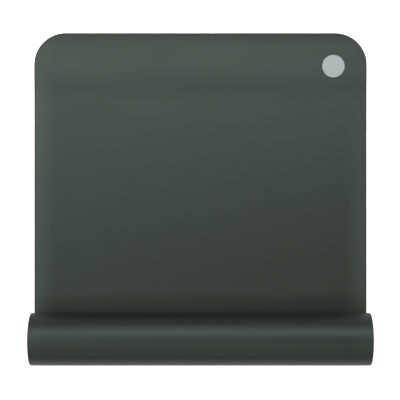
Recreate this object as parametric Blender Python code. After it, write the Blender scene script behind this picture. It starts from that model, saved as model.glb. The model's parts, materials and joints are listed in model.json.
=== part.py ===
"""Yoga mat, partly unrolled: a flat stretch with a round-cornered free end, and the rest wound into a roll.

Metres, +Z up. X runs along the roll, +Y points to the free end and the floor is z = 0. The origin is at the
middle of the mat's footprint, on the floor.

The mat is one sheet of foam rubber. A place on it is given by its distance along the underside from the free
end. The sheet is divided across at bend lines, so that the flat stretch can curl up and the roll can open.
"""

import math

import bmesh
import bpy

# The sheet
MAT_WIDTH = 0.610
MAT_LENGTH = 1.830
MAT_THICKNESS = 0.004
CORNER_RADIUS = 0.0575

# How it lies: the flat stretch, the hole in the middle of the roll and the air between its turns
FLAT_LENGTH = 0.555
CORE_RADIUS = 0.0222
LAYER_GAP = 0.0003

# The bend lines: where the flat stretch curls, and where the outer half turn of the roll opens
FREE_END_LENGTH = 0.080
FLAP_STRIP_LENGTH = 0.026
FLAP_LINES = 12
ROLL_LINES = 9
ROLL_LINES_PER_TURN = 18
LINE_GAP = 0.0003

# Facets
FACETS_PER_LINE = 4
CORNER_FACETS = 10
LEAST_FACET = 0.0004
SHARP_ANGLE = math.radians(30)

# The finish: anthracite foam rubber, moulded satin matt
MAT_COLOUR = (0.060, 0.075, 0.070, 1.0)
MAT_ROUGHNESS = 0.62

# The roll: the underside's radius of curvature falls by ROLL_PITCH each turn, which keeps the turns parallel
ROLLED_LENGTH = MAT_LENGTH - FLAT_LENGTH
ROLL_PITCH = MAT_THICKNESS + LAYER_GAP
RADIUS_LOSS = ROLL_PITCH / (2 * math.pi)
INNER_RADIUS = CORE_RADIUS + MAT_THICKNESS
OUTER_RADIUS = math.sqrt(INNER_RADIUS**2 + 2 * RADIUS_LOSS * ROLLED_LENGTH)
ROLL_TURNING = (OUTER_RADIUS - INNER_RADIUS) / RADIUS_LOSS
LINE_TURNING = 2 * math.pi / ROLL_LINES_PER_TURN

# The roll's side reach past the line where it leaves the floor, which sets the middle of the footprint
QUARTER_TURN = math.pi / 2
ROLL_REACH = OUTER_RADIUS - RADIUS_LOSS * (QUARTER_TURN - 1)
LIFT_OFF_Y = (ROLL_REACH - FLAT_LENGTH) / 2


def length_at(turning):
    """Distance from the free end to the place where the roll has turned by this angle."""
    return FLAT_LENGTH + OUTER_RADIUS * turning - RADIUS_LOSS * turning**2 / 2


def turning_at(length):
    """Angle that the sheet has turned by at this distance from the free end; zero on the flat stretch."""
    rolled = max(length - FLAT_LENGTH, 0)
    return (OUTER_RADIUS - math.sqrt(OUTER_RADIUS**2 - 2 * RADIUS_LOSS * rolled)) / RADIUS_LOSS


def sheet_point(length, inset):
    """Y and Z of the sheet at this distance from the free end, inset from the underside towards the top side."""
    if length <= FLAT_LENGTH:
        return LIFT_OFF_Y + FLAT_LENGTH - length, inset
    a = turning_at(length)
    sine, cosine = math.sin(a), math.cos(a)
    y = LIFT_OFF_Y - OUTER_RADIUS * sine + RADIUS_LOSS * (a * sine + cosine - 1)
    z = OUTER_RADIUS * (1 - cosine) - RADIUS_LOSS * (sine - a * cosine)
    return y + inset * sine, z + inset * cosine


def half_width(length):
    """Half of the sheet's width, which the rounded corners narrow near both ends."""
    from_end = min(length, MAT_LENGTH - length)
    into_corner = max(CORNER_RADIUS - from_end, 0)
    return MAT_WIDTH / 2 - CORNER_RADIUS + math.sqrt(CORNER_RADIUS**2 - into_corner**2)


def roll_line(number):
    """Distance from the free end to one of the roll's bend lines, counted from the flat stretch."""
    return length_at((number - 1 / 2) * LINE_TURNING)


def flap_line(number):
    """Distance from the free end to one of the flat stretch's bend lines, counted from the roll's side."""
    return FREE_END_LENGTH + (FLAP_LINES - number) * FLAP_STRIP_LENGTH


def facet_places():
    """Distances at which the sheet gets a row of corners: even steps of turning, and both ends' corner arcs."""
    step = LINE_TURNING / FACETS_PER_LINE
    places = [length_at(step * i) for i in range(int(ROLL_TURNING / step) + 1)]
    for i in range(CORNER_FACETS + 1):
        from_end = CORNER_RADIUS * (1 - math.cos(QUARTER_TURN * i / CORNER_FACETS))
        places += [from_end, MAT_LENGTH - from_end]
    return sorted(places)


def stations(start, end):
    """The piece's two ends and the rows of corners between them, none closer together than a small facet."""
    found = [start]
    for place in facet_places():
        if found[-1] + LEAST_FACET < place < end - LEAST_FACET:
            found.append(place)
    return found + [end]


def foam_rubber(name):
    """Satin matt anthracite foam rubber."""
    material = bpy.data.materials.new(name)
    material.use_nodes = True
    shader = material.node_tree.nodes["Principled BSDF"]
    shader.inputs["Base Color"].default_value = MAT_COLOUR
    shader.inputs["Roughness"].default_value = MAT_ROUGHNESS
    shader.inputs["Metallic"].default_value = 0
    material.diffuse_color = MAT_COLOUR
    return material


def sheet_piece(name, start, end, pivot, parent=None):
    """One full-thickness stretch of the sheet, with its origin on the bend line that it turns about."""
    mesh = bpy.data.meshes.new(name)
    bm = bmesh.new()
    rows = []
    for length in stations(start, end):
        side = half_width(length)
        low, high = sheet_point(length, 0), sheet_point(length, MAT_THICKNESS)
        corners = [(-side, *low), (side, *low), (side, *high), (-side, *high)]
        rows.append([bm.verts.new((x, y - pivot[0], z - pivot[1])) for x, y, z in corners])
    bm.faces.new(rows[0])
    bm.faces.new(reversed(rows[-1]))
    for before, after in zip(rows, rows[1:]):
        for i in range(4):
            j = (i + 1) % 4
            bm.faces.new([before[i], after[i], after[j], before[j]])
    bmesh.ops.recalc_face_normals(bm, faces=bm.faces)
    bm.to_mesh(mesh)
    bm.free()
    mesh.shade_smooth()
    mesh.set_sharp_from_angle(angle=SHARP_ANGLE)
    mesh.materials.append(foam_rubber(name))
    piece = bpy.data.objects.new(name, mesh)
    bpy.context.scene.collection.objects.link(piece)
    piece.parent = parent
    from_parent = parent["pivot"] if parent else (0, 0)
    piece.location = (0, pivot[0] - from_parent[0], pivot[1] - from_parent[1])
    piece["pivot"] = pivot
    return piece


def build_flap(flat_sheet):
    """The strips of the flat stretch, each turning about the top edge of its bend line, out to the free end."""
    parent = flat_sheet
    for number in range(1, FLAP_LINES + 1):
        far_line = flap_line(number + 1) if number < FLAP_LINES else 0
        name = f"flap_strip_{number:02d}" if number < FLAP_LINES else "free_end"
        end = flap_line(number) - LINE_GAP / 2
        start = far_line + (LINE_GAP / 2 if number < FLAP_LINES else 0)
        pivot = sheet_point(flap_line(number), MAT_THICKNESS)
        parent = sheet_piece(name, start, end, pivot, parent)


def build_roll(flat_sheet):
    """The strips of the outer half turn, each turning about the underside of its bend line, and the inner turns."""
    parent = flat_sheet
    for number in range(1, ROLL_LINES + 1):
        last = number == ROLL_LINES
        name = "wound_roll" if last else f"roll_strip_{number}"
        start = roll_line(number) + LINE_GAP / 2
        end = MAT_LENGTH if last else roll_line(number + 1) - LINE_GAP / 2
        parent = sheet_piece(name, start, end, sheet_point(roll_line(number), 0), parent)


def main():
    """Builds the mat in an empty scene."""
    for old in list(bpy.data.objects):
        bpy.data.objects.remove(old)
    start, end = flap_line(1) + LINE_GAP / 2, roll_line(1) - LINE_GAP / 2
    flat_sheet = sheet_piece("flat_sheet", start, end, (0, 0))
    build_flap(flat_sheet)
    build_roll(flat_sheet)


main()
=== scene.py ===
"""The looks of a partly unrolled yoga mat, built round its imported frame.

The mat is one sheet of foam rubber. Each class below dresses one stretch of it: the flat stretch with its
round-cornered free end, and the roll. A place on the sheet is given by x across it, by its length along the
underside from the free end, and by its height from the underside towards the top side.
"""

import json
import logging
import math
from collections.abc import Iterable, Sequence
from dataclasses import dataclass, field, replace
from enum import Enum
from typing import Any

import bpy
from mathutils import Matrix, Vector


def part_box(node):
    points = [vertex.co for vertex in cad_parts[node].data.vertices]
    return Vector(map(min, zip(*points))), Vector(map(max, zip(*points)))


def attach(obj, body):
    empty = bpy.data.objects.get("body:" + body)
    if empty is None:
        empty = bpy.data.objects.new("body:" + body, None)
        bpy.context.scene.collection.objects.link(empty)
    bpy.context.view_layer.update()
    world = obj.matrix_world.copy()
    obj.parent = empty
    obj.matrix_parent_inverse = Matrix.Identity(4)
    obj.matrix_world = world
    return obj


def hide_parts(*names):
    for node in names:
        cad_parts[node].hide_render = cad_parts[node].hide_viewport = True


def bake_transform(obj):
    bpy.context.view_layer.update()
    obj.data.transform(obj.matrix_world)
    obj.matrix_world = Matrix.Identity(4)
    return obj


log = logging.getLogger("yoga_mat")
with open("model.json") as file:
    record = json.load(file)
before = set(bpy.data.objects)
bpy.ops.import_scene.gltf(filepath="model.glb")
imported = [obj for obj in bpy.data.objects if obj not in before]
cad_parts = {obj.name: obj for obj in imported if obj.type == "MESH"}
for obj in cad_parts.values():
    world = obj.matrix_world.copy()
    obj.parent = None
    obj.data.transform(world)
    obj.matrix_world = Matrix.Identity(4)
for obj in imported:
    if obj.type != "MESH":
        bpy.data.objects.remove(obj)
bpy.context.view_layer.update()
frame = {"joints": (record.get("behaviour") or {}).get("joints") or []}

MM = 0.001
QUARTER_TURN = math.pi / 2

# The distance at which a wave texture of scale 1 repeats, and the step over which slopes are taken, in metres
WAVE_PITCH = 2 * math.pi / 20
SLOPE_STEP = 0.1 * MM

# How far the stretch about a joint reaches, in halves of a band. At the chain's ends it reaches less far
# outwards than inside the chain.
INSIDE_REACH = 2.73
INWARD_REACH = 2.25
OUTWARD_REACH = 1.7


class MeshData(Enum):
    """What each mesh says about its points, for the material to read."""

    PLACE = "sheet_place"
    CUT = "cut_edge"


class SheetEnd(Enum):
    """The sheet's two ends: which way along its length each one's corners point."""

    FREE = -1
    INNER = 1


def linear(hex_colour: str) -> tuple[float, float, float, float]:
    """Turns an sRGB colour into the linear one that shaders take.

    Args:
        hex_colour: the colour as "#rrggbb".

    Returns:
        Linear red, green and blue, and an alpha of one.
    """
    parts = [int(hex_colour[i : i + 2], 16) / 255 for i in (1, 3, 5)]
    curved = [c / 12.92 if c <= 0.04045 else ((c + 0.055) / 1.055) ** 2.4 for c in parts]
    return curved[0], curved[1], curved[2], 1.0


def per_metre(size_mm: float) -> float:
    """The texture scale that gives features of this size in millimetres."""
    return 1 / (size_mm * MM)


def wave_scale(pitch_mm: float) -> float:
    """The wave texture's scale that puts its bands this far apart in millimetres."""
    return WAVE_PITCH * per_metre(pitch_mm)


def bend_reach(number: int, count: int) -> tuple[float, float]:
    """How far the stretch about one joint of a chain reaches, in half bands.

    Args:
        number: the joint's number, from the start of the chain.
        count: how many joints the chain has.

    Returns:
        The reach back towards the chain's start, and the reach onwards.
    """
    if number == 1:
        return OUTWARD_REACH, INWARD_REACH
    if number == count:
        return INWARD_REACH, OUTWARD_REACH
    return INSIDE_REACH, INSIDE_REACH


def add_node(
    tree: bpy.types.NodeTree,
    kind: str,
    settings: dict[str, Any] | None = None,
    inputs: dict[str | int, Any] | None = None,
) -> bpy.types.Node:
    """Adds a node with its settings, values and links.

    Args:
        tree: the node tree that gets it.
        kind: the node's Blender type name.
        settings: the node's own properties.
        inputs: what goes into its inputs, by name or number: a socket to link to, or a value.

    Returns:
        The new node.
    """
    node = tree.nodes.new(kind)
    for name, value in (settings or {}).items():
        setattr(node, name, value)
    for key, value in (inputs or {}).items():
        if isinstance(value, bpy.types.NodeSocket):
            tree.links.new(value, node.inputs[key])
        else:
            node.inputs[key].default_value = value
    return node


def maths(
    tree: bpy.types.NodeTree, operation: str, *values: float | bpy.types.NodeSocket
) -> bpy.types.NodeSocket:
    """Adds a node that works something out.

    Args:
        tree: the node tree that gets it.
        operation: the operation's Blender name.
        values: the numbers or sockets that it works on.

    Returns:
        The result.
    """
    return add_node(tree, "ShaderNodeMath", {"operation": operation}, dict(enumerate(values))).outputs[0]


def mixed(
    tree: bpy.types.NodeTree, share: bpy.types.NodeSocket, first: Any, second: Any, kind: str = "RGBA"
) -> bpy.types.NodeSocket:
    """Adds a mix of two colours or numbers.

    Args:
        tree: the node tree that gets it.
        share: how much of the second one there is.
        first: the first colour or number, as a value or a socket.
        second: the second one.
        kind: what is mixed, RGBA or FLOAT.

    Returns:
        The mix.
    """
    inputs = {"Factor": share, "A": first, "B": second}
    return add_node(tree, "ShaderNodeMix", {"data_type": kind}, inputs).outputs["Result"]


def map_range(
    tree: bpy.types.NodeTree,
    value: bpy.types.NodeSocket,
    source: tuple[float, float],
    target: tuple[float, float] = (0.0, 1.0),
    smooth: bool = False,
) -> bpy.types.NodeSocket:
    """Adds a node that turns one range of values into another and keeps within it.

    Args:
        tree: the node tree that gets it.
        value: the value to turn.
        source: the range that the value is in.
        target: the range that it is turned into.
        smooth: whether it eases in and out.

    Returns:
        The turned value.
    """
    ranges = {"From Min": source[0], "From Max": source[1], "To Min": target[0], "To Max": target[1]}
    easing = "SMOOTHSTEP" if smooth else "LINEAR"
    node = add_node(tree, "ShaderNodeMapRange", {"interpolation_type": easing}, {"Value": value, **ranges})
    return node.outputs["Result"]


def new_material(name: str) -> bpy.types.Material:
    """Makes an empty node material.

    Args:
        name: its name.

    Returns:
        The material, with no nodes in it.
    """
    material = bpy.data.materials.new(name)
    material.use_nodes = True
    material.node_tree.nodes.clear()
    return material


@dataclass(frozen=True)
class PrintedSpot:
    """A plain round spot of pale ink on the top side, in the free end's corner.

    Attributes:
        from_side: the middle's distance from the sheet's +X side.
        from_end: the middle's distance from the free end.
        radius: the spot's radius.
        soft_edge: how far the ink's edge fades into the foam.
        hollows: the values of the grain between which the ink comes to full cover.
        hollow_cover: the ink's cover in the grain's hollows.
    """

    from_side: float = 61.1 * MM
    from_end: float = 60.9 * MM
    radius: float = 20.4 * MM
    soft_edge: float = 0.5 * MM
    hollows: tuple[float, float] = (0.3, 0.42)
    hollow_cover: float = 0.8


@dataclass(frozen=True)
class PaintedSideLight:
    """A side of the sheet along which the skin is painted paler, as painted light.

    Attributes:
        side: one for the +X side, and minus one for the other.
        lengths: the lengths along the sheet between which the painted light grows.
        shares: how strong the painted light is at those two lengths.
    """

    side: int
    lengths: tuple[float, float]
    shares: tuple[float, float]


@dataclass(frozen=True)
class FoamRubber:
    """Closed-cell natural rubber foam, cured between finely woven belts and die-cut.

    The belts leave a satin skin with their weave in it and a very fine grain, which spreads highlights into
    broad soft bands. Curing leaves the colour faintly clouded, and streaked along the length. The cut edge
    shows the cells and is duller than the skin; the hollows of its cells are painted darker, as painted
    shade.
    Along the sides the skin is painted paler, as painted light, more of it towards the roll.

    Attributes:
        skin: the skin's main colour.
        skin_pale: the skin's colour where it is palest.
        skin_side_lit: the skin's colour along its sides, painted paler there as painted light.
        cut: the cut edge's colour in the hollows of its cells, darker there as painted shade.
        cut_wall: the cut edge's colour on the walls between its cells.
        ink: the printed spot's colour.
        sheen: the tint of the light that the skin mirrors, from the pigment close under it.
        ior: the rubber's index of refraction.
        roughness: the skin's roughness.
        roughness_spread: how far the grain and clouds move the roughness.
        uneven: the range that the sum of the grain and clouds keeps to.
        cut_roughness: the cut edge's roughness.
        ink_roughness: the ink's roughness.
        cloud_mm: the size of the colour's clouds.
        cloud_share: how much of the colour's unevenness is clouds. The rest is streaks.
        streak_mm: the width and length of the streaks that run along the sheet.
        weave_mm: the pitch of the belts' weave across and along the sheet.
        weave_height: how deep the weave is pressed in.
        grain_mm: the skin's grain.
        grain_height: the height of the skin's grain.
        cell_mm: the cells in the cut edge.
        cell_depth: the depth of the cells in the cut edge.
        painted_side_light: where the sides are painted paler, as painted light.
        side_light_reach: how far in from the side the painted light is full, and where it ends.
        side_light_below: how strong the painted light is on the underside, next to the top side.
        side_light_border: the shares of the thickness over which one side's painted light turns into the
            other's.
    """

    skin: str = "#121514"
    skin_pale: str = "#161a18"
    # Painted light: the paler colour painted along the sides.
    skin_side_lit: str = "#2e3230"
    # Painted shade: the cut edge's cell hollows are painted darker than their walls.
    cut: str = "#080a09"
    cut_wall: str = "#1c201e"
    ink: str = "#a2aaa9"
    sheen: str = "#eefff6"
    ior: float = 1.5
    roughness: float = 0.47
    roughness_spread: float = 0.08
    uneven: tuple[float, float] = (0.6, 1.4)
    cut_roughness: float = 0.85
    ink_roughness: float = 0.6
    cloud_mm: float = 85.0
    cloud_share: float = 0.6
    streak_mm: tuple[float, float] = (9.0, 420.0)
    weave_mm: tuple[float, float] = (1.94, 2.0)
    weave_height: float = 0.05 * MM
    grain_mm: float = 1.3
    grain_height: float = 0.08 * MM
    cell_mm: float = 0.5
    cell_depth: float = 0.2 * MM
    # Painted light: the sides are painted paler, more so towards the roll.
    painted_side_light: tuple[PaintedSideLight, ...] = (
        PaintedSideLight(-1, (40 * MM, 130 * MM), (0.35, 1.0)),
        PaintedSideLight(1, (80 * MM, 420 * MM), (0.0, 1.0)),
    )
    side_light_reach: tuple[float, float] = (2 * MM, 44 * MM)
    side_light_below: float = 0.3
    side_light_border: tuple[float, float] = (0.4, 0.6)

    def material(self, spot: PrintedSpot, half_width: float, thickness: float) -> bpy.types.Material:
        """Makes the foam's material, with its printed spot.

        Args:
            spot: the printed spot.
            half_width: half of the sheet's width.
            thickness: the sheet's thickness.

        Returns:
            The material, which reads each point's place on the sheet.
        """
        material = new_material("moulded foam rubber")
        tree = material.node_tree
        place, cut = (
            add_node(tree, "ShaderNodeAttribute", {"attribute_name": data.value}).outputs[output]
            for data, output in ((MeshData.PLACE, "Vector"), (MeshData.CUT, "Fac"))
        )
        cloud, streak, grain, cells = self.patterns(tree, place)
        ink = self.ink_cover(tree, place, grain, spot, half_width, thickness)
        clouds = maths(tree, "MULTIPLY", cloud, self.cloud_share)
        tone = maths(tree, "MULTIPLY_ADD", streak, 1 - self.cloud_share, clouds)
        skin = mixed(tree, tone, linear(self.skin), linear(self.skin_pale))
        # Painted light: the skin is mixed towards a paler colour along its sides.
        side_lit = mixed(tree, self.side_light(tree, place, half_width, thickness), skin, linear(self.skin_side_lit))
        inked = mixed(tree, ink, side_lit, linear(self.ink))
        # Painted shade: the cut edge is darker in the hollows of its cells.
        foam = mixed(tree, cells, linear(self.cut), linear(self.cut_wall))
        shader = add_node(
            tree,
            "ShaderNodeBsdfPrincipled",
            inputs={
                "Base Color": mixed(tree, cut, inked, foam),
                "Roughness": self.dullness(tree, cloud, grain, ink, cut),
                "Metallic": 0.0,
                "IOR": self.ior,
                "Specular Tint": linear(self.sheen),
                "Normal": self.relief(tree, place, grain, cells, cut),
            },
        )
        add_node(tree, "ShaderNodeOutputMaterial", inputs={"Surface": shader.outputs["BSDF"]})
        return material

    def patterns(
        self, tree: bpy.types.NodeTree, place: bpy.types.NodeSocket
    ) -> tuple[bpy.types.NodeSocket, ...]:
        """Adds the patterns that the skin and the cut edge are made of.

        Args:
            tree: the material's node tree.
            place: each point's place on the sheet.

        Returns:
            The clouds, the streaks, the grain and the cells, each from zero to one.
        """
        cloud = add_node(
            tree,
            "ShaderNodeTexNoise",
            inputs={"Vector": place, "Scale": per_metre(self.cloud_mm), "Detail": 3.0, "Roughness": 0.55},
        )
        across, along = (per_metre(size) for size in self.streak_mm)
        stretched = add_node(
            tree, "ShaderNodeMapping", inputs={"Vector": place, "Scale": (across, along, across)}
        )
        streak = add_node(
            tree,
            "ShaderNodeTexNoise",
            inputs={"Vector": stretched.outputs["Vector"], "Scale": 1.0, "Detail": 2.0, "Roughness": 0.5},
        )
        grain = add_node(
            tree,
            "ShaderNodeTexNoise",
            inputs={"Vector": place, "Scale": per_metre(self.grain_mm), "Detail": 2.0, "Roughness": 0.6},
        )
        cells = add_node(
            tree,
            "ShaderNodeTexVoronoi",
            {"feature": "SMOOTH_F1"},
            {"Vector": place, "Scale": per_metre(self.cell_mm), "Smoothness": 0.4},
        )
        return cloud.outputs["Fac"], streak.outputs["Fac"], grain.outputs["Fac"], cells.outputs["Distance"]

    def side_light(
        self, tree: bpy.types.NodeTree, place: bpy.types.NodeSocket, half_width: float, thickness: float
    ) -> bpy.types.NodeSocket:
        """Adds the painted light along the sides, which is strongest on the top side.

        Args:
            tree: the material's node tree.
            place: each point's place on the sheet.
            half_width: half of the sheet's width.
            thickness: the sheet's thickness.

        Returns:
            The painted light's share, from zero to one.
        """
        parts = add_node(tree, "ShaderNodeSeparateXYZ", inputs={"Vector": place})
        border = (thickness * self.side_light_border[0], thickness * self.side_light_border[1])
        faces = map_range(tree, parts.outputs["Z"], border, (self.side_light_below, 1.0))
        full, none = self.side_light_reach
        total: float | bpy.types.NodeSocket = 0.0
        # Painted light along each side, growing along the sheet towards the roll.
        for side_lit in self.painted_side_light:
            reach = (side_lit.side * (half_width - none), side_lit.side * (half_width - full))
            band = map_range(tree, parts.outputs["X"], reach, smooth=True)
            share = map_range(tree, parts.outputs["Y"], side_lit.lengths, side_lit.shares)
            total = maths(tree, "MULTIPLY_ADD", band, share, total)
        return maths(tree, "MULTIPLY", total, faces)

    def ink_cover(
        self,
        tree: bpy.types.NodeTree,
        place: bpy.types.NodeSocket,
        grain: bpy.types.NodeSocket,
        spot: PrintedSpot,
        half_width: float,
        thickness: float,
    ) -> bpy.types.NodeSocket:
        """Adds the cover of the printed ink, which lets the grain's hollows show a little.

        Args:
            tree: the material's node tree.
            place: each point's place on the sheet.
            grain: the skin's grain.
            spot: the printed spot.
            half_width: half of the sheet's width.
            thickness: the sheet's thickness.

        Returns:
            The ink's cover, from zero to one.
        """
        parts = add_node(tree, "ShaderNodeSeparateXYZ", inputs={"Vector": place})
        middle = (half_width - spot.from_side, spot.from_end, 0.0)
        flat = add_node(
            tree, "ShaderNodeVectorMath", {"operation": "MULTIPLY"}, {0: place, 1: (1.0, 1.0, 0.0)}
        )
        away = add_node(
            tree, "ShaderNodeVectorMath", {"operation": "DISTANCE"}, {0: flat.outputs["Vector"], 1: middle}
        )
        edge = (spot.radius + spot.soft_edge / 2, spot.radius - spot.soft_edge / 2)
        inside = map_range(tree, away.outputs["Value"], edge)
        top_side = maths(tree, "GREATER_THAN", parts.outputs["Z"], thickness / 2)
        cover = map_range(tree, grain, spot.hollows, (spot.hollow_cover, 1.0))
        return maths(tree, "MULTIPLY", maths(tree, "MULTIPLY", inside, top_side), cover)

    def dullness(
        self,
        tree: bpy.types.NodeTree,
        cloud: bpy.types.NodeSocket,
        grain: bpy.types.NodeSocket,
        ink: bpy.types.NodeSocket,
        cut: bpy.types.NodeSocket,
    ) -> bpy.types.NodeSocket:
        """Adds the roughness: the skin's own, a little uneven, and the ink's and the cut edge's.

        Args:
            tree: the material's node tree.
            cloud: the colour's clouds.
            grain: the skin's grain.
            ink: the ink's cover.
            cut: one on the cut edge and zero on the skin.

        Returns:
            The roughness.
        """
        half = self.roughness_spread / 2
        uneven = maths(tree, "ADD", cloud, grain)
        skin = map_range(tree, uneven, self.uneven, (self.roughness - half, self.roughness + half))
        inked = mixed(tree, ink, skin, self.ink_roughness, "FLOAT")
        return mixed(tree, cut, inked, self.cut_roughness, "FLOAT")

    def relief(
        self,
        tree: bpy.types.NodeTree,
        place: bpy.types.NodeSocket,
        grain: bpy.types.NodeSocket,
        cells: bpy.types.NodeSocket,
        cut: bpy.types.NodeSocket,
    ) -> bpy.types.NodeSocket:
        """Adds the fine relief: the weave and the grain of the skin, and the cells of the cut edge.

        Args:
            tree: the material's node tree.
            place: each point's place on the sheet.
            grain: the skin's grain.
            cells: the cells of the cut edge.
            cut: one on the cut edge and zero on the skin.

        Returns:
            The shading normal.
        """
        across, along = (
            add_node(
                tree,
                "ShaderNodeTexWave",
                {"bands_direction": direction},
                {"Vector": place, "Scale": wave_scale(pitch)},
            )
            for direction, pitch in zip("XY", self.weave_mm)
        )
        weave = maths(tree, "MULTIPLY", across.outputs["Fac"], along.outputs["Fac"])
        woven = add_node(tree, "ShaderNodeBump", inputs={"Height": weave, "Distance": self.weave_height})
        skin = add_node(
            tree,
            "ShaderNodeBump",
            inputs={"Height": grain, "Distance": self.grain_height, "Normal": woven.outputs["Normal"]},
        )
        edge = add_node(
            tree,
            "ShaderNodeBump",
            inputs={
                "Height": cells,
                "Distance": self.cell_depth,
                "Strength": cut,
                "Normal": skin.outputs["Normal"],
            },
        )
        return edge.outputs["Normal"]


@dataclass(frozen=True)
class Station:
    """One row of points across the sheet, between its two sides.

    Attributes:
        length: where it lies along the sheet, or where its corner arc's centre does.
        corner: the angle round the corner arc, from zero on the sides to a quarter turn at the end.
        end: the end whose corners it rounds.
        sunk: how far the points lie under the sheet's surface.
    """

    length: float
    corner: float = 0.0
    end: SheetEnd = SheetEnd.FREE
    sunk: float = 0.0


@dataclass(frozen=True)
class RimPoint:
    """A point of the sheet's rounded edge, seen in section.

    Attributes:
        inset: how far it lies in from the sheet's outline.
        height: how far it lies from the underside.
        out: the surface's share of facing outwards.
        up: the surface's share of facing upwards.
        cut: one where the section shows the cut foam, and zero where it shows the skin.
    """

    inset: float
    height: float
    out: float
    up: float
    cut: float


@dataclass(frozen=True)
class MatSheet:
    """The whole sheet's shape, and the meshes of its stretches.

    Attributes:
        free_end: the free end's Y.
        width: the sheet's width.
        thickness: the sheet's thickness.
        length: the sheet's length.
        corner_radius: the radius of its corners.
        flat_length: how much of it lies flat.
        core_radius: the radius of the hole in the roll.
        layer_gap: the air between two turns of the roll.
        edge_width: how far the cut edge's rounding reaches in over the top side.
        edge_drop: how far that rounding reaches down the edge.
        edge_segments: the steps in the rounding.
        edge_contrast: how quickly the skin gives way to the cut foam round the rounding.
        corner_segments: the steps in a corner.
        straight_segments: the steps in a straight run.
        side_columns: the distances from the outline at which the sheet gets more points.
        lift: how far the free end has lifted off the floor, having been rolled.
        lift_reach: how far in from the free end it starts to lift.
        hump: the height of the low hump behind the free end.
        hump_span: the lengths between which the hump lies.
        wander: how far the inner turns stray to one side, as they do in a roll made by hand.
        wander_rate: how fast they stray to and fro as the roll turns.
        tongue: the length and the depth of the tongue that a band has in the next one. It closes the
            slit that opens between them.
    """

    free_end: float
    width: float
    thickness: float
    length: float = 1830 * MM
    corner_radius: float = 57.5 * MM
    flat_length: float = 555 * MM
    core_radius: float = 22.2 * MM
    layer_gap: float = 0.3 * MM
    edge_width: float = 1.8 * MM
    edge_drop: float = 1.2 * MM
    edge_segments: int = 5
    edge_contrast: float = 2.5
    corner_segments: int = 24
    straight_segments: int = 4
    side_columns: tuple[float, ...] = (5 * MM, 11 * MM, 18 * MM, 28 * MM)
    lift: float = 2.4 * MM
    lift_reach: float = 25 * MM
    hump: float = 2.0 * MM
    hump_span: tuple[float, float] = (15 * MM, 125 * MM)
    wander: float = 0.7 * MM
    wander_rate: float = 0.45
    tongue: tuple[float, float] = (0.9 * MM, 0.04 * MM)

    @property
    def radius_loss(self) -> float:
        """How much the underside's radius falls for each radian of turning."""
        return (self.thickness + self.layer_gap) / (2 * math.pi)

    @property
    def outer_radius(self) -> float:
        """The underside's radius where the roll starts."""
        inner = self.core_radius + self.thickness
        return math.sqrt(inner**2 + 2 * self.radius_loss * (self.length - self.flat_length))

    @property
    def roll_start(self) -> float:
        """The Y at which the sheet leaves the floor."""
        return self.free_end - self.flat_length

    def length_at(self, turning: float) -> float:
        """The length along the sheet at which the roll has turned by this angle."""
        return self.flat_length + self.outer_radius * turning - self.radius_loss * turning**2 / 2

    def turning_at(self, length: float) -> float:
        """The angle that the roll has turned by at this length along the sheet."""
        rolled = max(length - self.flat_length, 0.0)
        radius = math.sqrt(self.outer_radius**2 - 2 * self.radius_loss * rolled)
        return (self.outer_radius - radius) / self.radius_loss

    def raised(self, length: float) -> float:
        """How far the underside lies off the floor at this length of the flat stretch."""
        lift = self.lift * max(1 - length / self.lift_reach, 0.0) ** 2
        first, last = self.hump_span
        share = min(max((length - first) / (last - first), 0.0), 1.0)
        return lift + self.hump * math.sin(math.pi * share) ** 2

    def tangent(self, length: float) -> Vector:
        """The direction of the sheet's length here, away from the free end."""
        if length < self.flat_length:
            rise = self.raised(length + SLOPE_STEP) - self.raised(length - SLOPE_STEP)
            return Vector((0.0, -1.0, rise / (2 * SLOPE_STEP))).normalized()
        turning = self.turning_at(length)
        return Vector((0.0, -math.cos(turning), math.sin(turning)))

    def underside(self, length: float) -> Vector:
        """The place of the underside at this length, on the sheet's middle line."""
        if length < self.flat_length:
            return Vector((0.0, self.free_end - length, self.raised(length)))
        a, loss = self.turning_at(length), self.radius_loss
        y = self.roll_start - self.outer_radius * math.sin(a) + loss * (a * math.sin(a) + math.cos(a) - 1)
        z = self.outer_radius * (1 - math.cos(a)) - loss * (math.sin(a) - a * math.cos(a))
        return Vector((self.stray(a), y, z))

    def stray(self, turning: float) -> float:
        """How far the roll strays to one side at this turning; nothing in its outer half turn."""
        inner = max(turning - math.pi, 0.0)
        return self.wander * math.sin(self.wander_rate * inner) * (1 - math.exp(-inner))

    def rim(self) -> list[RimPoint]:
        """The section of the side, from the underside round the cut edge to the top side."""
        flat = [RimPoint(inset, 0.0, 0.0, 1.0, 0.0) for inset in self.side_columns]
        points = []
        for rise, level in ((-1, self.edge_drop), (1, self.thickness - self.edge_drop)):
            half = [replace(point, height=level + rise * self.edge_drop, up=rise) for point in reversed(flat)]
            for step in range(self.edge_segments + 1):
                a = QUARTER_TURN * step / self.edge_segments
                out, up = self.edge_drop * math.sin(a), rise * self.edge_width * math.cos(a)
                size = math.hypot(out, up)
                half.append(
                    RimPoint(
                        inset=self.edge_width * (1 - math.sin(a)),
                        height=level + rise * self.edge_drop * math.cos(a),
                        out=out / size,
                        up=up / size,
                        cut=min(self.edge_contrast * math.sin(a), 1.0),
                    )
                )
            points += half if rise < 0 else reversed(half)
        return points

    def straight(self, start: float, end: float, count: int) -> list[Station]:
        """Rows at even steps between two lengths, both ends included."""
        return [Station(start + (end - start) * i / count) for i in range(count + 1)]

    def tongue_rows(self, length: float) -> list[Station]:
        """The rows of the tongue that a band ending at this length has."""
        reach, depth = self.tongue
        return [Station(length, sunk=depth), Station(length + reach, sunk=depth)]

    def corners(self, end: SheetEnd) -> list[Station]:
        """The rows round an end's two corners, in order of length."""
        centre = self.corner_radius if end is SheetEnd.FREE else self.length - self.corner_radius
        angles = [QUARTER_TURN * i / self.corner_segments for i in range(self.corner_segments + 1)]
        ordered = reversed(angles) if end is SheetEnd.FREE else angles
        return [Station(centre, angle, end) for angle in ordered]

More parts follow.
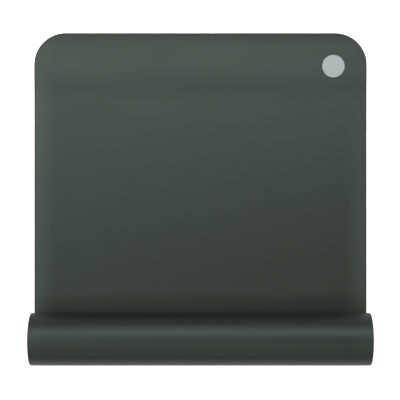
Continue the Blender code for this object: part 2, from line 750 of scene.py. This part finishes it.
    def stretch(
        self,
        name: str,
        stations: Iterable[Station],
        material: bpy.types.Material,
        ends: tuple[bool, bool] = (False, False),
    ) -> bpy.types.Object:
        """Makes one stretch of the sheet as a closed mesh.

        Args:
            name: the piece's name.
            stations: its rows of points, in order of length.
            material: what it is made of.
            ends: for its first and last row, whether the sheet ends there.

        Returns:
            The piece, in place.
        """
        rim = self.rim()
        rows = list(stations)
        row = [(1, rim_point) for rim_point in rim] + [(-1, rim_point) for rim_point in reversed(rim)]
        found = [self.surface(station, side, rim_point) for station in rows for side, rim_point in row]
        points, facing, places = zip(*found)
        cuts = [rim_point.cut for _, rim_point in row] * len(rows)
        around, last = len(row), (len(rows) - 1) * len(row)
        faces: list[tuple[int, ...]] = []
        for first in range(0, last, around):
            for i in range(around):
                j = (i + 1) % around
                faces.append((first + i, first + j, first + around + j, first + around + i))
        normals = [facing[corner] for face in faces for corner in face]
        for first, is_end in zip((0, last), ends):
            outwards = self.tangent(rows[-1].length) if first else -self.tangent(rows[0].length)
            if is_end:
                closing = [
                    (first + i + 1, first + i, first + around - 1 - i, first + around - 2 - i)
                    for i in range(len(rim) - 1)
                ]
            else:
                closing = [tuple(range(first + around - 1, first - 1, -1))]
            for face in closing:
                face = tuple(reversed(face)) if first else face
                faces.append(face)
                normals += [facing[corner] if is_end else outwards for corner in face]
        return self.finished(name, (points, faces, normals, places, cuts), material)

    def surface(self, station: Station, side: int, rim_point: RimPoint) -> tuple[Vector, Vector, Vector]:
        """Finds one point of the sheet's surface.

        Args:
            station: the row that it lies on.
            side: one on the +X side, and minus one on the other.
            rim_point: where it lies in the edge's section.

        Returns:
            The point, the way the surface faces there, and its place on the sheet.
        """
        radius = self.corner_radius - rim_point.inset
        x = side * (self.width / 2 - self.corner_radius + radius * math.cos(station.corner))
        length = station.length + station.end.value * radius * math.sin(station.corner)
        tangent = self.tangent(length)
        inwards = Vector((0.0, tangent.z, -tangent.y))
        outwards = Vector((side * math.cos(station.corner), 0.0, 0.0))
        outwards += tangent * station.end.value * math.sin(station.corner)
        point = self.underside(length) + Vector((x, 0.0, 0.0)) + inwards * rim_point.height
        normal = (outwards * rim_point.out + inwards * rim_point.up).normalized()
        return point - normal * station.sunk, normal, Vector((x, length, rim_point.height))

    def finished(
        self, name: str, shape: tuple[Sequence, ...], material: bpy.types.Material
    ) -> bpy.types.Object:
        """Turns a stretch's points and faces into a dressed piece.

        Args:
            name: the piece's name.
            shape: its points, faces, corner normals, places on the sheet and shares of cut edge.
            material: what it is made of.

        Returns:
            The piece.
        """
        points, faces, normals, places, cuts = shape
        mesh = bpy.data.meshes.new(name)
        mesh.from_pydata(points, [], faces)
        mesh.shade_smooth()
        mesh.normals_split_custom_set(normals)
        place = mesh.attributes.new(MeshData.PLACE.value, "FLOAT_VECTOR", "POINT")
        place.data.foreach_set("vector", [value for spot in places for value in spot])
        cut = mesh.attributes.new(MeshData.CUT.value, "FLOAT", "POINT")
        cut.data.foreach_set("value", cuts)
        mesh.materials.append(material)
        piece = bpy.data.objects.new(name, mesh)
        bpy.context.scene.collection.objects.link(piece)
        return piece


@dataclass
class FlatStretch:
    """The flat stretch: its still middle, the bands about its curl joints, and the round-cornered end.

    Attributes:
        sheet: the sheet that it is part of.
        material: what it is made of.
        joints: the frame's curl joints, from the roll's side to the free end.
        last_length: the length along the sheet at which the roll's first band starts.
        band_rows: the steps in one bending band.
        pieces: the pieces built so far.
    """

    sheet: MatSheet
    material: bpy.types.Material
    joints: list[dict[str, Any]]
    last_length: float
    band_rows: int = 12
    pieces: list[bpy.types.Object] = field(default_factory=list)

    def length_of(self, joint: dict[str, Any]) -> float:
        """The length along the sheet at which a joint's line crosses it."""
        return self.sheet.free_end - joint["pos_m"][1]

    def build(self) -> list[bpy.types.Object]:
        """Builds the stretch's pieces, and joins its still middle and its end to the frame.

        Returns:
            The pieces, from the roll's side to the free end.
        """
        lines = [self.length_of(joint) for joint in self.joints]
        half = (lines[0] - lines[1]) / 2
        self.build_middle(lines[0] + half * OUTWARD_REACH)
        for number, (line, joint) in enumerate(zip(lines, self.joints), 1):
            self.build_band(number, line, half, joint)
        self.build_end(lines[-1] - half * OUTWARD_REACH)
        return self.pieces

    def build_middle(self, start: float) -> None:
        """Builds the still middle, from this length to the roll's first band."""
        rows = self.sheet.straight(start, self.last_length, self.sheet.straight_segments)
        piece = self.sheet.stretch("flat_middle", rows, self.material)
        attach(piece, "flat_sheet")
        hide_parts("flat_sheet")
        self.pieces.append(piece)

    def build_band(self, number: int, line: float, half: float, joint: dict[str, Any]) -> None:
        """Builds one band about a joint's line.

        Args:
            number: the band's number, from the roll's side.
            line: the joint's length along the sheet.
            half: half of the band's length.
            joint: the frame's joint.
        """
        is_first, is_last = number == 1, number == len(self.joints)
        back, onwards = (half * reach for reach in bend_reach(number, len(self.joints)))
        start = line - (onwards if is_last else half)
        stop = line + (back if is_first else half)
        rows = self.sheet.straight(start, stop, self.band_rows)
        if not is_first:
            rows += self.sheet.tongue_rows(stop)
        piece = self.sheet.stretch(f"flat_band_{number:02d}", rows, self.material)
        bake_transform(piece)
        if not is_last:
            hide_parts(joint["child"])
        self.pieces.append(piece)

    def build_end(self, stop: float) -> None:
        """Builds the round-cornered end, from the free end to this length."""
        rows = self.sheet.corners(SheetEnd.FREE) + [Station(stop)]
        piece = self.sheet.stretch("round_end", rows, self.material, (True, False))
        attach(piece, "free_end")
        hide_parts("free_end")
        self.pieces.append(piece)


@dataclass
class Roll:
    """The roll: the bands of its outer half turn, about its unroll joints, and the inner turns.

    Attributes:
        sheet: the sheet that it is part of.
        material: what it is made of.
        joints: the frame's unroll joints, from the flat stretch inwards.
        band_rows: the steps in one bending band.
        row_turning: the turning between two rows of the inner turns.
        pieces: the pieces built so far.
    """

    sheet: MatSheet
    material: bpy.types.Material
    joints: list[dict[str, Any]]
    band_rows: int = 10
    row_turning: float = math.radians(3)
    pieces: list[bpy.types.Object] = field(default_factory=list)

    def build(self) -> list[bpy.types.Object]:
        """Builds the roll's pieces, and joins its inner turns to the frame.

        Returns:
            The pieces, from the flat stretch inwards.
        """
        for number, joint in enumerate(self.joints, 1):
            self.build_band(number, joint)
        self.build_inner_turns(self.joint_turning(len(self.joints)) + self.turning_past)
        return self.pieces

    @property
    def half_turning(self) -> float:
        """Half of the turning of one band."""
        return math.radians(self.joints[0]["range_deg"][1]) / 2

    @property
    def turning_past(self) -> float:
        """How far the last band reaches past its joint."""
        return math.asin(OUTWARD_REACH * self.half_turning)

    @property
    def first_length(self) -> float:
        """The length along the sheet at which the first band starts, on the flat stretch."""
        return self.sheet.flat_length - (OUTWARD_REACH - 1) * self.half_length(1)

    def joint_turning(self, number: int) -> float:
        """The turning at which a joint lies."""
        return (2 * number - 1) * self.half_turning

    def half_length(self, number: int) -> float:
        """Half of the length of the sheet that turns about a joint."""
        turning = self.joint_turning(number)
        near, far = (self.sheet.length_at(turning + side * self.half_turning) for side in (-1, 1))
        return (far - near) / 2

    def rows(self, start: float, end: float, count: int) -> list[Station]:
        """Rows at even steps of turning between two turnings, both ends included."""
        turnings = [start + (end - start) * i / count for i in range(count + 1)]
        return [Station(self.sheet.length_at(turning)) for turning in turnings]

    def build_band(self, number: int, joint: dict[str, Any]) -> None:
        """Builds one band about a joint's line.

        Args:
            number: the band's number, from the flat stretch.
            joint: the frame's joint.
        """
        sheet, is_last = self.sheet, number == len(self.joints)
        middle = self.joint_turning(number)
        end = middle + (self.turning_past if is_last else self.half_turning)
        rows = self.rows(middle - self.half_turning, end, self.band_rows)
        if number == 1:
            rows = sheet.straight(self.first_length, sheet.flat_length, sheet.straight_segments)[:-1] + rows
        if not is_last:
            rows += sheet.tongue_rows(rows[-1].length)
        piece = sheet.stretch(f"roll_band_{number}", rows, self.material)
        half = self.half_length(number)
        length = sheet.length_at(middle)
        hinge, along = sheet.underside(length), sheet.tangent(length)
        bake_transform(piece)
        if not is_last:
            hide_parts(joint["child"])
        self.pieces.append(piece)

    def build_inner_turns(self, start: float) -> None:
        """Builds the turns inside this turning, down to the sheet's inner end."""
        last = self.sheet.turning_at(self.sheet.length - self.sheet.corner_radius)
        count = round((last - start) / self.row_turning)
        rows = self.rows(start, last, count)[:-1] + self.sheet.corners(SheetEnd.INNER)
        piece = self.sheet.stretch("inner_turns", rows, self.material, (False, True))
        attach(piece, "wound_roll")
        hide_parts("wound_roll")
        self.pieces.append(piece)


@dataclass(frozen=True)
class SoftBox:
    """A rectangular studio lamp.

    Attributes:
        name: its name.
        place: where it hangs.
        aim: the point that it faces.
        size: its width and depth.
        power: its power in watts.
    """

    name: str
    place: tuple[float, float, float]
    aim: tuple[float, float, float]
    size: tuple[float, float]
    power: float

    def build(self) -> bpy.types.Object:
        """Hangs the lamp and returns it."""
        lamp = bpy.data.lights.new(self.name, "AREA")
        lamp.shape = "RECTANGLE"
        lamp.size, lamp.size_y = self.size
        lamp.energy = self.power
        holder = bpy.data.objects.new(self.name, lamp)
        bpy.context.scene.collection.objects.link(holder)
        holder.location = self.place
        towards = Vector(self.aim) - Vector(self.place)
        holder.rotation_euler = towards.to_track_quat("-Z", "Y").to_euler()
        return holder


@dataclass
class Studio:
    """The floor, the backdrop, the lamps and the camera, which looks straight down.

    Attributes:
        camera_place: the camera's place.
        lens_mm: the camera's focal length on its sensor.
        sensor_mm: the width of the camera's sensor.
        floor_radius: the radius of the floor and its backdrop.
        floor_sides: the number of their straight sides.
        backdrop_height: the height of the backdrop.
        paper: the colour of the white paper that they are made of.
        paper_glow: how white the paper looks to the camera without any lamp, next to the mat.
        white_reach: the distances from the middle between which that grows to full white.
        mirrored_glow: the same, where something shiny mirrors the paper.
        sky: the colour of the light from all round.
        sky_strength: the strength of the light from all round.
    """

    camera_place: tuple[float, float, float] = (-0.87 * MM, -4.65 * MM, 2140.0 * MM)
    lens_mm: float = 104.69
    sensor_mm: float = 36.0
    floor_radius: float = 15.0
    floor_sides: int = 96
    backdrop_height: float = 3.0
    paper: str = "#e7e7e7"
    paper_glow: float = 0.72
    white_reach: tuple[float, float] = (0.6, 1.6)
    mirrored_glow: float = 0.3
    sky: str = "#ffffff"
    sky_strength: float = 0.01

    def lamps(self) -> list[SoftBox]:
        """The soft boxes: long ones past the free end, overhead, past the roll, and high at each side."""
        middle, strip, broad = (0.0, 0.0, 0.0), (1.8, 0.21), (1.8, 0.36)
        return [
            SoftBox("front_high_box", (0.0, 0.41, 1.13), middle, strip, 6.6),
            SoftBox("front_middle_box", (0.0, 0.6, 1.04), middle, strip, 5.0),
            SoftBox("front_low_box", (0.0, 1.72, 1.2), middle, broad, 5.4),
            SoftBox("top_box", (0.0, -0.18, 2.1), middle, broad, 3.0),
            SoftBox("rear_high_box", (0.0, -1.05, 1.82), middle, broad, 7.9),
            SoftBox("rear_low_box", (0.0, -1.82, 1.05), middle, broad, 6.9),
            SoftBox("left_box", (-0.89, 0.0, 1.9), middle, broad, 8.2),
            SoftBox("right_box", (0.89, 0.0, 1.9), middle, broad, 2.7),
        ]

    def build(self) -> None:
        """Builds the studio."""
        self.build_paper()
        self.build_sky()
        for lamp in self.lamps():
            lamp.build()
        self.build_camera()

    def build_paper(self) -> None:
        """Builds the floor and the backdrop round it, of white paper."""
        sides = self.floor_sides
        angles = [2 * math.pi * i / sides for i in range(sides)]
        ring = [(self.floor_radius * math.cos(a), self.floor_radius * math.sin(a)) for a in angles]
        points = [(x, y, 0.0) for x, y in ring] + [(x, y, self.backdrop_height) for x, y in ring]
        walls = [(i, (i + 1) % sides, sides + (i + 1) % sides, sides + i) for i in range(sides)]
        material = self.paper_material()
        for name, faces in (("floor", [tuple(range(sides))]), ("backdrop", walls)):
            mesh = bpy.data.meshes.new(name)
            mesh.from_pydata(points, [], faces)
            mesh.materials.append(material)
            paper = bpy.data.objects.new(name, mesh)
            bpy.context.scene.collection.objects.link(paper)

    def paper_material(self) -> bpy.types.Material:
        """Makes the paper's material: matt white, which the camera sees as white however it is lit.

        Returns:
            The material, which still shows the mat's shadow.
        """
        material = new_material("white paper")
        tree = material.node_tree
        path = add_node(tree, "ShaderNodeLightPath")
        position = add_node(tree, "ShaderNodeNewGeometry").outputs["Position"]
        away = add_node(tree, "ShaderNodeVectorMath", {"operation": "LENGTH"}, {0: position})
        white = (self.paper_glow, 1.0)
        glow = map_range(tree, away.outputs["Value"], self.white_reach, white, smooth=True)
        seen = maths(tree, "MULTIPLY", path.outputs["Is Camera Ray"], glow)
        shiny = maths(tree, "MAXIMUM", path.outputs["Is Glossy Ray"], path.outputs["Is Transmission Ray"])
        strength = maths(tree, "MULTIPLY_ADD", shiny, self.mirrored_glow, seen)
        matt = add_node(tree, "ShaderNodeBsdfDiffuse", inputs={"Color": linear(self.paper)})
        light = add_node(tree, "ShaderNodeEmission", inputs={"Strength": strength})
        both = add_node(
            tree, "ShaderNodeAddShader", inputs={0: matt.outputs["BSDF"], 1: light.outputs["Emission"]}
        )
        add_node(tree, "ShaderNodeOutputMaterial", inputs={"Surface": both.outputs["Shader"]})
        return material

    def build_sky(self) -> None:
        """Sets the soft light that comes from all round."""
        world = bpy.data.worlds.new("studio")
        world.use_nodes = True
        world.node_tree.nodes.clear()
        tree = world.node_tree
        colour = {"Color": linear(self.sky), "Strength": self.sky_strength}
        light = add_node(tree, "ShaderNodeBackground", inputs=colour)
        add_node(tree, "ShaderNodeOutputWorld", inputs={"Surface": light.outputs["Background"]})
        bpy.context.scene.world = world

    def build_camera(self) -> None:
        """Places the camera over the mat, looking straight down."""
        camera = bpy.data.cameras.new("overhead")
        camera.sensor_width = self.sensor_mm
        camera.lens = self.lens_mm
        holder = bpy.data.objects.new("overhead", camera)
        bpy.context.scene.collection.objects.link(holder)
        holder.location = self.camera_place
        bpy.context.scene.camera = holder


def joints_named(start: str) -> list[dict[str, Any]]:
    """The frame's joints whose names start this way, in the frame's order."""
    return [joint for joint in frame["joints"] if joint["name"].startswith(start)]


def main() -> None:
    """Builds the mat and the studio, and logs how many faces each piece has."""
    logging.basicConfig(level=logging.INFO, format="%(name)s: %(message)s")
    low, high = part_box("free_end")
    sheet = MatSheet(free_end=high.y, width=high.x - low.x, thickness=high.z - low.z)
    material = FoamRubber().material(PrintedSpot(), sheet.width / 2, sheet.thickness)
    roll = Roll(sheet, material, joints_named("unroll"))
    for stretch in (FlatStretch(sheet, material, joints_named("curl"), roll.first_length), roll):
        for piece in stretch.build():
            log.info("%s has %d faces", piece.name, len(piece.data.polygons))
    Studio().build()
    bpy.context.scene.view_settings.view_transform = "Standard"


if __name__ == "__main__":
    main()
